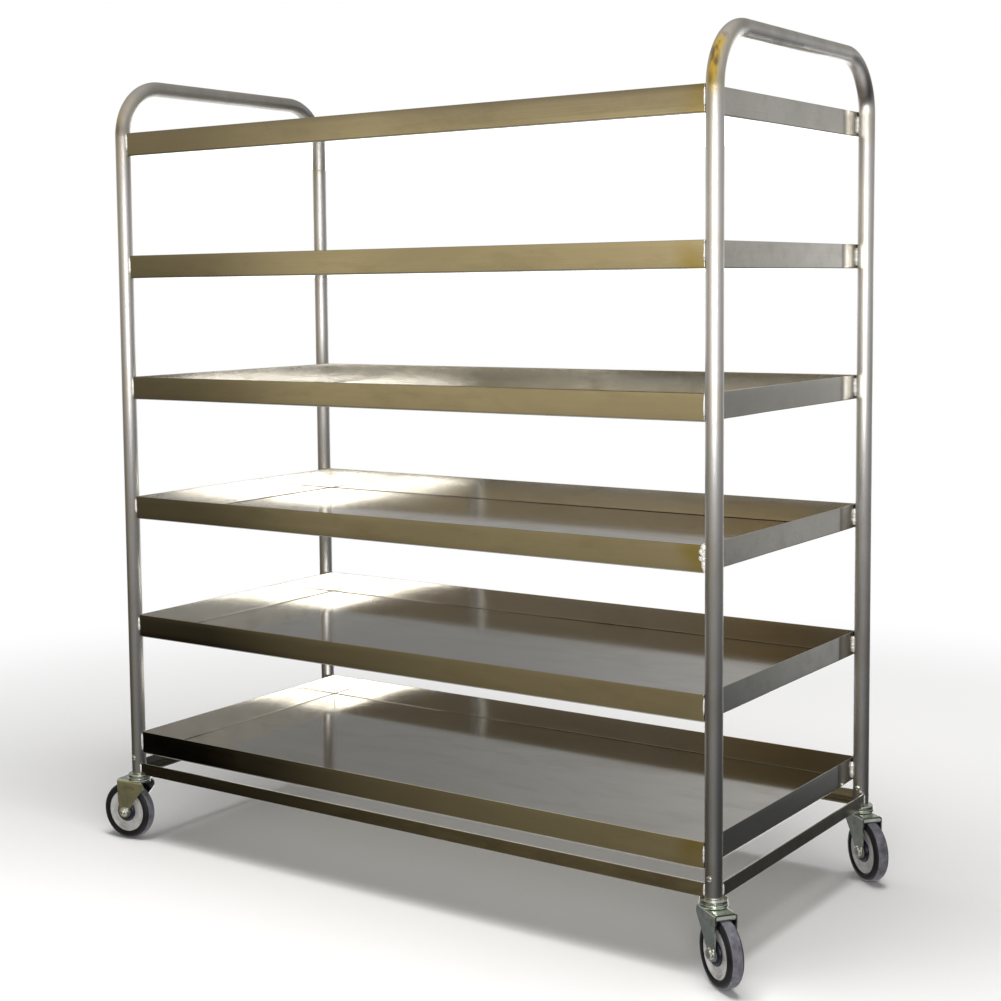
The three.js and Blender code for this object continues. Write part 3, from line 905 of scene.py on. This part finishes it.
def arm_edges(z):
    """Front and back edge of a fork arm at a height."""
    axle = WHEEL_R
    round_half = sqrt(max(0.0, ARM_END_R**2 - (z - axle) ** 2))
    rise = 4
    waist = axle + rise
    shoulder = CROWN_Z - 16
    round_front = TRAIL - sqrt(ARM_END_R**2 - rise**2)
    if z <= waist:
        front = TRAIL - round_half
    elif z < shoulder:
        t = (z - waist) / (shoulder - waist)
        t = t**0.9 * (0.75 + 0.25 * t)
        front = round_front + (-CROWN_FRONT + 1 - round_front) * t
    else:
        t = (z - shoulder) / (CROWN_Z - shoulder)
        front = -CROWN_FRONT + 1 + 7 * t**3
    if z <= axle:
        back = TRAIL + round_half
    else:
        t = min(1, (z - axle) / (shoulder - axle))
        back = TRAIL + ARM_END_R + (CROWN_BACK - TRAIL - ARM_END_R) * t**1.5
    return front, back


def fork_section():
    """(y, z, outward y, outward z) over the U of the fork, from one arm's end to the other's."""
    bend = 5.0
    top = CROWN_Z - bend
    side = FORK_OUTER - bend
    end_steps = 8
    arm_steps = 14
    bend_steps = 6
    crown_steps = 5
    half = []
    for k in range(end_steps + 1):
        z = WHEEL_R - ARM_END_R * cos(pi / 2 * k / end_steps) * 0.998
        half.append((FORK_OUTER, z, 1, 0))
    for k in range(1, arm_steps + 1):
        half.append((FORK_OUTER, WHEEL_R + (top - WHEEL_R) * k / arm_steps, 1, 0))
    for k in range(1, bend_steps + 1):
        turn = pi / 2 * k / bend_steps
        ny = cos(turn)
        nz = sin(turn)
        half.append((side + bend * ny, top + bend * nz, ny, nz))
    for k in range(1, crown_steps + 1):
        half.append((side * (1 - k / (crown_steps + 0.5)), CROWN_Z, 0, 1))
    other = [(-y, z, -ny, nz) for y, z, ny, nz in reversed(half)]
    return half + other


def fork_shape(matrix):
    """One bent sheet: two tapering arms under a crown, with a lip turned down at the back."""
    columns = 14
    outer = []
    inner = []
    for y, z, ny, nz in fork_section():
        front, back = arm_edges(z)
        if nz > 0:
            reach = abs(y) / (FORK_OUTER - 5)
            front = min(front, -CROWN_FRONT + 8 * min(1, reach) ** 2 + 0.01)
            front = max(front, -CROWN_FRONT)
        outer_row = []
        inner_row = []
        for k in range(columns + 1):
            share = 0.5 - 0.5 * cos(pi * k / columns)
            x = front + (back - front) * share
            outer_row.append(matrix @ Vector((x, y, z)))
            inner_row.append(matrix @ Vector((x, y - ny * FORK_THICK, z - nz * FORK_THICK)))
        outer.append(outer_row)
        inner.append(inner_row)
    return plated(outer, inner)


def lip_shape(matrix):
    """The crown's turned-down edge over the wheel."""
    flare = 2.4
    top = CROWN_BACK - flare
    outline = [
        (top - 6, CROWN_Z - 0.1), (top, CROWN_Z - 0.1), (CROWN_BACK, CROWN_Z - 11),
        (CROWN_BACK - 2.6, CROWN_Z - 11), (top - 2.6, CROWN_Z - 2.9), (top - 6, CROWN_Z - 2.9),
    ]
    return extruded(soften(outline, 3.0, steps=6), matrix, -FORK_OUTER + 2.0, FORK_OUTER - 2.0)


def hex_shape(matrix, low, high, chamfer_low, chamfer_high, inner=0.0):
    """A hexagon whose corners are chamfered at its ends, bored through where inner is given."""
    flat = FLATS / 2
    tip = flat * 0.97
    slope = tan(radians(30))
    angles = angles_round(HEX_SIDES)
    radii = []
    for k in range(HEX_SIDES):
        radii.append(flat / cos(radians((360 * k / HEX_SIDES) % 60 - 30)))

    def edge(height, rise):
        """The hexagon's outline, raised by its distance past the chamfer's start."""
        loop = []
        for radius, angle in zip(radii, angles):
            up = height + (radius - tip) * rise
            loop.append(matrix @ Vector((radius * cos(angle), radius * sin(angle), up)))
        return loop

    loops = [edge(low, slope if chamfer_low else 0), edge(high, -slope if chamfer_high else 0)]
    if chamfer_low:
        loops.insert(0, circle(matrix, tip, low, HEX_SIDES))
    if chamfer_high:
        loops.append(circle(matrix, tip, high, HEX_SIDES))
    if inner:
        loops.append(circle(matrix, inner, high, HEX_SIDES))
        loops.append(circle(matrix, inner, low, HEX_SIDES))
        return bridged(loops, ring=True)
    loops.insert(0, [matrix @ Vector((0, 0, low))])
    loops.append([matrix @ Vector((0, 0, high))])
    return bridged(loops)


def bolt_shapes(matrix):
    """Flanged hex head, shank and a threaded end that stands out of the nut."""
    axle = axle_frame(matrix)
    seat = FORK_OUTER + 0.15
    end = FORK_OUTER + 0.35 + NUT_HEIGHT + 2
    flange = [(0, -seat), (10.4, -seat), (10.4, -seat - 1.0), (8.2, -seat - 1.9), (0, -seat - 1.9)]
    shank = [(0, -seat - 1), (5, -seat - 1), (5, end - 4)]
    for k in range(3):
        shank += [(5, end - 3.6 + k), (4.55, end - 3.2 + k)]
    shank += [(4.6, end - 0.7), (3.9, end), (0, end)]
    return [
        turned(soften(flange, 0.4, closed=False), axle, 48),
        hex_shape(axle, -seat - HEAD_HEIGHT, -seat - 1.2, True, False),
        turned(shank, axle, 36),
    ]


def nut_shapes(matrix):
    """Flanged lock nut with a round collar."""
    axle = axle_frame(matrix)
    seat = FORK_OUTER + 0.15
    top = FORK_OUTER + 0.35 + NUT_HEIGHT
    flange = [(5.3, seat), (10.4, seat), (10.4, seat + 1.0), (8.2, seat + 1.9), (5.3, seat + 1.9)]
    collar = [(5.3, top - 2.4), (7.2, top - 2.4), (7.2, top - 0.6), (6.4, top), (5.3, top)]
    return [
        turned(soften(flange, 0.4), axle, 48, ring=True),
        hex_shape(axle, seat + 1.2, top - 1.8, False, True, inner=5.3),
        turned(soften(collar, 0.4), axle, 48, ring=True),
    ]


def tyre_shape(matrix):
    """Crowned tread, rounded shoulders, a mould seam round the middle and a step to the disc."""
    axle = axle_frame(matrix)
    half = 15.3
    inner = 48.7
    rise = WHEEL_R - inner
    side = []
    steps = 18
    for k in range(steps + 1):
        along = half * sin(pi / 2 * k / steps)
        share = min(1.0, along / half)
        side.append((inner + (rise - 0.2) * (1 - share**3.2) ** (1 / 2.6), along))
    side[0] = (WHEEL_R, 0.0)
    side.insert(1, (WHEEL_R - 0.2, 0.45))
    side += [(inner, half - 0.9), (inner - 0.4, half - 2.6), (46.1, half - 3.4), (46.0, half - 6)]
    other = [(r, -along) for r, along in reversed(side[1:])]
    return turned(other + side, axle, 128, ring=True)


def tread_wear_and_sheen(tyre, axle):
    """Gives the faces that run on the floor, which face away from the axle, their own finish."""
    tyre.data.materials.append(TREAD)
    corners = [Vector(corner) for corner in tyre.bound_box]
    middle = sum(corners, Vector()) / len(corners)
    tread_from = (WHEEL_R - TREAD_DEPTH) * MM
    for face in tyre.data.polygons:
        outside = (face.center - middle).length > tread_from
        face.material_index = 1 if outside and abs(face.normal.dot(axle)) < TREAD_LEAN else 0


def disc_shape(matrix):
    """Rim, dished web with a raised ring, and the hub's boss."""
    axle = axle_frame(matrix)
    side = [
        (45.7, 10.5), (45.7, 12.2), (43.6, 12.4), (41.6, 10.6), (39.0, 8.6), (35.4, 8.0),
        (34.6, 8.9), (33.0, 8.9), (32.2, 7.8), (24.0, 7.6), (17.0, 9.0), (14.0, 9.4),
        (14.0, 17.0), (6.2, 17.0),
    ]
    other = [(r, -along) for r, along in reversed(side)]
    return turned(soften(other + side, 0.8), axle, 128, ring=True)


def guard_shape(matrix, sign):
    axle = axle_frame(matrix)
    profile = [
        (14.3, 10.0), (19.0, 9.4), (23.2, 10.2), (23.4, 13.2), (21.5, 15.6), (18.6, 17.1),
        (14.3, 17.3),
    ]
    if sign < 0:
        profile = [(r, -along) for r, along in reversed(profile)]
    return turned(soften(profile, 0.9), axle, 96, ring=True)


for corner in CORNERS:
    swivel = Vector(JOINTS[f"{corner}_swivel_turn"]["pos_m"])
    hub = Vector(JOINTS[f"{corner}_wheel_spin"]["pos_m"])
    heading = atan2(hub.y - swivel.y, hub.x - swivel.x)
    leg_foot = Matrix.Translation((swivel.x, swivel.y, 0))
    fixed = leg_foot @ Matrix.Scale(MM, 4)
    turning = leg_foot @ Matrix.Rotation(heading, 4, "Z") @ Matrix.Scale(MM, 4)
    yoke = f"{corner}_swivel"
    wheel = f"{corner}_wheel"
    rows = [
        ("caster_stem", "root", [stem_shape(fixed)], ZINC, "zinc_plate", 0),
        ("stem_pin", "root", [pin_shape(fixed)], FASTENER, "fastener_steel", 0),
        ("ball_cup", yoke, [cup_shape(turning)], ZINC, "zinc_plate", 0),
        ("kingpin", yoke, [kingpin_shape(turning)], FASTENER, "fastener_steel", 0),
        ("fork", yoke, [fork_shape(turning), lip_shape(turning)], ZINC, "zinc_plate", 0.0006),
        ("axle_bolt", yoke, bolt_shapes(turning), FASTENER, "fastener_steel", 0),
        ("axle_nut", yoke, nut_shapes(turning), FASTENER, "fastener_steel", 0),
        ("tyre", wheel, [tyre_shape(turning)], TYRE, "tyre_rubber", 0),
        ("wheel_disc", wheel, [disc_shape(turning)], DISC, "wheel_plastic", 0),
        ("outer_thread_guard", wheel, [guard_shape(turning, -1)], GUARD, "guard_plastic", 0),
        ("inner_thread_guard", wheel, [guard_shape(turning, 1)], GUARD, "guard_plastic", 0),
    ]
    for part, body, shapes, material, slot, bevel in rows:
        node = f"{corner}_{part}"
        made = piece(f"{node}_fine", shapes, material, body, [node], bevel=bevel)
        if part == "tyre":
            axle = (turning @ ALONG_Y).to_3x3() @ Vector((0, 0, 1))
            tread_wear_and_sheen(made, axle.normalized())


# ---------------------------------------------------------------- camera
CAMERA_AT = Vector((2.054, -2.997, 1.2187))
CAMERA_TO = Vector((-0.122, 0.0, 0.904))
CAMERA_ROLL = radians(0.68)
LENS = 62.4
SENSOR = 36.0
SHIFT = (0.0650, -0.0666)


def make_camera():
    data = bpy.data.cameras.new("camera")
    data.lens = LENS
    data.sensor_width = SENSOR
    data.shift_x, data.shift_y = SHIFT
    camera = bpy.data.objects.new("camera", data)
    forward = (CAMERA_TO - CAMERA_AT).normalized()
    level = forward.cross(Vector((0, 0, 1))).normalized()
    down = forward.cross(level)
    right = level * cos(CAMERA_ROLL) + down * sin(CAMERA_ROLL)
    up = right.cross(forward)
    turn = Matrix((right, up, -forward)).transposed().to_4x4()
    camera.matrix_world = Matrix.Translation(CAMERA_AT) @ turn
    bpy.context.scene.collection.objects.link(camera)
    bpy.context.scene.camera = camera


make_camera()


# ---------------------------------------------------------------- floor, light and surroundings
FLOOR_R = 16.0
FLOOR_GAP = 0.0002
FADE_FROM = 1.2
FADE_TO = 3.0


def make_floor():
    """A pale floor that fades to white away from the cart."""
    bm = bmesh.new()
    bmesh.ops.create_circle(bm, cap_ends=True, radius=FLOOR_R, segments=96)
    mesh = bpy.data.meshes.new("floor")
    bm.to_mesh(mesh)
    bm.free()
    floor = bpy.data.objects.new("floor", mesh)
    floor.location.z = cad_bounds[0].z - FLOOR_GAP
    bpy.context.scene.collection.objects.link(floor)
    finish = Finish("pale_floor", (0.86, 0.86, 0.86), 0.9)
    finish.specular(0.0)
    x_squared = finish.math("POWER", finish.axis("X"), 2.0)
    y_squared = finish.math("POWER", finish.axis("Y"), 2.0)
    away = finish.math("POWER", finish.plus(x_squared, y_squared), 0.5)
    far = finish.spread(away, FADE_FROM, FADE_TO, smooth=True)
    glow = finish.node("Emission")
    blend = finish.node("MixShader")
    output = finish.tree.nodes["Material Output"]
    finish.link(far, blend.inputs[0])
    finish.link(finish.shader.outputs[0], blend.inputs[1])
    finish.link(glow.outputs[0], blend.inputs[2])
    finish.link(blend.outputs[0], output.inputs["Surface"])
    mesh.materials.append(finish.material)
    floor.visible_glossy = False


def make_area_light(name, place, target, size, power, color, mirrored):
    """A soft lamp, which the steel may or may not mirror."""
    data = bpy.data.lights.new(name, "AREA")
    data.shape = "RECTANGLE"
    data.size, data.size_y = size
    data.energy = power
    data.color = color
    light = bpy.data.objects.new(name, data)
    aim = (Vector(target) - Vector(place)).to_track_quat("-Z", "Y")
    light.matrix_world = Matrix.Translation(place) @ aim.to_matrix().to_4x4()
    light.visible_glossy = mirrored
    bpy.context.scene.collection.objects.link(light)


class Surroundings(Finish):
    """The room as the steel reflects it. It is laid out by direction alone, so that it is the
    same from every viewpoint."""

    def __init__(self):
        self.world = bpy.data.worlds.new("room")
        self.world.use_nodes = True
        self.tree = self.world.node_tree
        self.tree.nodes.clear()
        self.place = self.node("TexCoord").outputs["Generated"]

    def band(self, bearing, stops):
        """One height of the room: its stops all the way round."""
        node = self.node("ValToRGB")
        self.link(bearing, node.inputs[0])
        points = node.color_ramp.elements
        while len(points) < len(stops):
            points.new(0.5)
        for point, (degrees, level, *tints) in zip(points, stops):
            tint = tints[0] if tints else PLAIN
            point.position = (degrees + 180) / 360
            point.color = (*(level * channel for channel in tint), 1)
        return node.outputs[0]

    def background(self, color):
        node = self.node("Background")
        self.feed(node.inputs["Color"], color)
        return node.outputs[0]


PLAIN = (1.0, 0.985, 0.96)
COOL = (0.97, 0.99, 1.0)
OLIVE = (1.0, 0.82, 0.46)
GOLD = (1.0, 0.80, 0.38)
BROWN = (1.0, 0.84, 0.62)
TAUPE = (1.0, 0.94, 0.85)
AMBER = (1.0, 0.70, 0.34)
PALE = (0.93, 0.94, 0.96)
MATT_LIGHT = 0.22

# The room by height and bearing. A row's height is the upward part of a unit direction. Its stops
# are (bearing, brightness, tint), PLAIN where no tint is given. Bearings are degrees from +X
# towards +Y, so -56 is where the camera stands and 125 is behind the cart. The brightness was set
# so that from the camera's place the steel looks as it does in the photograph.
ROOM = [
    (-1.0, [(-180, 1.2), (180, 1.2)]),
    (-0.50, [
        (-180, 0.2, COOL), (-150, 0.06), (-120, 0.12, OLIVE), (-60, 0.20), (-20, 0.06, COOL),
        (30, 0.06, COOL), (66, 0.05), (75, 0.15), (84, 1.2), (96, 1.8), (140, 0.9),
        (155, 0.25, COOL), (180, 0.2, COOL),
    ]),
    (-0.29, [
        (-180, 0.10), (-150, 0.03), (-137, 0.0, OLIVE), (-132, 0.0, OLIVE), (-129, 0.08, OLIVE),
        (-124, 0.16, OLIVE), (-117, 0.23, OLIVE), (-95, 0.22), (-60, 0.26), (-35, 0.14, COOL),
        (-15, 0.03, COOL), (40, 0.04, COOL), (62, 0.06, COOL), (75, 0.08, COOL), (84, 0.5),
        (95, 1.5), (142, 1.5), (152, 0.25), (165, 0.2, COOL), (180, 0.15),
    ]),
    (-0.216, [
        (-180, 0.12), (-150, 0.06), (-137, 0.0, OLIVE), (-133, 0.0, OLIVE), (-130, 0.09, OLIVE),
        (-124, 0.22, OLIVE), (-117, 0.26, OLIVE), (-95, 0.26), (-60, 0.32), (-30, 0.22, COOL),
        (0, 0.12, COOL), (40, 0.10, COOL), (62, 0.10, COOL), (66, 0.30, COOL), (75, 0.4), (92, 1.8),
        (142, 1.8), (152, 0.3), (165, 0.14), (180, 0.12),
    ]),
    (-0.141, [
        (-180, 0.14), (-150, 0.14), (-137, 0.07, OLIVE), (-133, 0.10, OLIVE), (-130, 0.25, OLIVE),
        (-124, 0.32, OLIVE), (-117, 0.39, OLIVE), (-95, 0.40), (-60, 0.45), (-30, 0.38), (0, 0.22),
        (40, 0.2), (62, 0.24), (66, 0.42), (75, 0.5), (92, 2.2), (142, 2.2), (155, 0.8), (168, 0.3),
        (180, 0.14),
    ]),
    (-0.064, [
        (-180, 0.4), (-150, 0.26), (-136, 0.10, OLIVE), (-133, 0.16, OLIVE), (-130, 0.46, OLIVE),
        (-124, 0.48, OLIVE), (-117, 0.53, OLIVE), (-95, 0.55), (-60, 0.6), (-30, 0.5), (0, 0.36),
        (40, 0.24), (62, 0.24), (66, 0.32), (69, 0.55), (92, 2.4), (142, 2.4), (155, 1.6),
        (168, 0.8), (180, 0.4),
    ]),
    (0.015, [
        (-180, 0.7), (-150, 0.36), (-136, 0.18, OLIVE), (-133, 0.27, OLIVE), (-130, 0.58, OLIVE),
        (-124, 0.53, OLIVE), (-117, 0.70, OLIVE), (-95, 0.65), (-60, 0.7), (-30, 0.55), (0, 0.42),
        (40, 0.36), (62, 0.42), (66, 0.62), (69, 1.1), (92, 2.2), (142, 2.2), (160, 1.4),
        (180, 0.7),
    ]),
    (0.094, [
        (-180, 0.8), (-150, 0.40, OLIVE), (-136, 0.27, OLIVE), (-133, 0.30, OLIVE),
        (-130, 0.54, OLIVE), (-124, 0.57, OLIVE), (-117, 0.85, OLIVE), (-95, 0.75, GOLD),
        (-60, 0.75), (-30, 0.6), (0, 0.45), (40, 0.4), (62, 0.46), (66, 0.52), (80, 0.5),
        (110, 0.6), (142, 0.6), (160, 1.2), (180, 0.8),
    ]),
    (0.12, [
        (-180, 0.7), (-150, 0.25, BROWN), (-118, 0.28, BROWN), (-115.5, 0.28, AMBER),
        (-112, 0.29, BROWN), (-95, 0.6, BROWN), (-60, 0.75), (0, 0.45), (66, 0.5), (90, 0.5),
        (110, 0.5), (142, 0.48), (160, 1.0), (180, 0.7),
    ]),
    (0.18, [
        (-180, 0.7), (-150, 0.20, BROWN), (-118, 0.22, BROWN), (-115.5, 0.21, AMBER),
        (-113.5, 0.09, AMBER), (-95, 0.6, BROWN), (-60, 0.75), (0, 0.45), (66, 0.5), (90, 0.45),
        (115, 0.42), (123, 0.27), (130, 0.25), (145, 0.4), (160, 0.9), (180, 0.7),
    ]),
    (0.30, [
        (-180, 0.6), (-140, 0.12, BROWN), (-118, 0.11, BROWN), (-115.5, 0.11, AMBER),
        (-113.5, 0.05, AMBER), (-95, 0.6, BROWN), (-60, 0.8), (0, 0.45), (66, 0.38, TAUPE),
        (92, 0.38, TAUPE), (115, 0.5), (120, 0.36), (126, 0.26), (132, 0.22), (150, 0.4),
        (180, 0.6),
    ]),
    (0.55, [
        (-180, 0.5), (-100, 0.7, OLIVE), (-40, 0.9), (60, 0.34, TAUPE), (110, 0.42, TAUPE),
        (180, 0.5),
    ]),
    (1.0, [(-180, 0.7, TAUPE), (180, 0.7, TAUPE)]),
]


def make_surroundings():
    """White to the camera, even light on matt surfaces, and the room in the reflections."""
    sky = Surroundings()
    bearing = sky.math("ARCTAN2", sky.axis("Y"), sky.axis("X"))
    bearing = sky.spread(bearing, -pi, pi)
    height = sky.axis("Z")
    below, stops = ROOM[0]
    room = sky.band(bearing, stops)
    for above, stops in ROOM[1:]:
        share = sky.spread(height, below, above)
        room = sky.mix(share, room, sky.band(bearing, stops))
        below = above
    seen = sky.node("LightPath")
    mirrored = sky.node("MixShader")
    shown = sky.node("MixShader")
    output = sky.node("OutputWorld")
    sky.link(seen.outputs["Is Glossy Ray"], mirrored.inputs[0])
    sky.link(sky.background(tuple(MATT_LIGHT * channel for channel in PALE)), mirrored.inputs[1])
    sky.link(sky.background(room), mirrored.inputs[2])
    sky.link(seen.outputs["Is Camera Ray"], shown.inputs[0])
    sky.link(mirrored.outputs[0], shown.inputs[1])
    sky.link(sky.background((1.0, 1.0, 1.0)), shown.inputs[2])
    sky.link(shown.outputs[0], output.inputs["Surface"])
    bpy.context.scene.world = sky.world


make_floor()
make_surroundings()
make_area_light(
    "overhead", place=(0.2, -0.3, 3.4), target=(0, 0, 0.8), size=(2.6, 1.8), power=165,
    color=(1.0, 0.99, 0.97), mirrored=False,
)
# Just behind the camera, and mirrored as the white in the trays' rear left corners.
make_area_light(
    "front", place=(2.07, -3.02, 1.25), target=(0, 0, 0.95), size=(1.5, 1.2), power=38,
    color=(1.0, 0.99, 0.98), mirrored=True,
)
bpy.context.scene.view_settings.view_transform = "Standard"
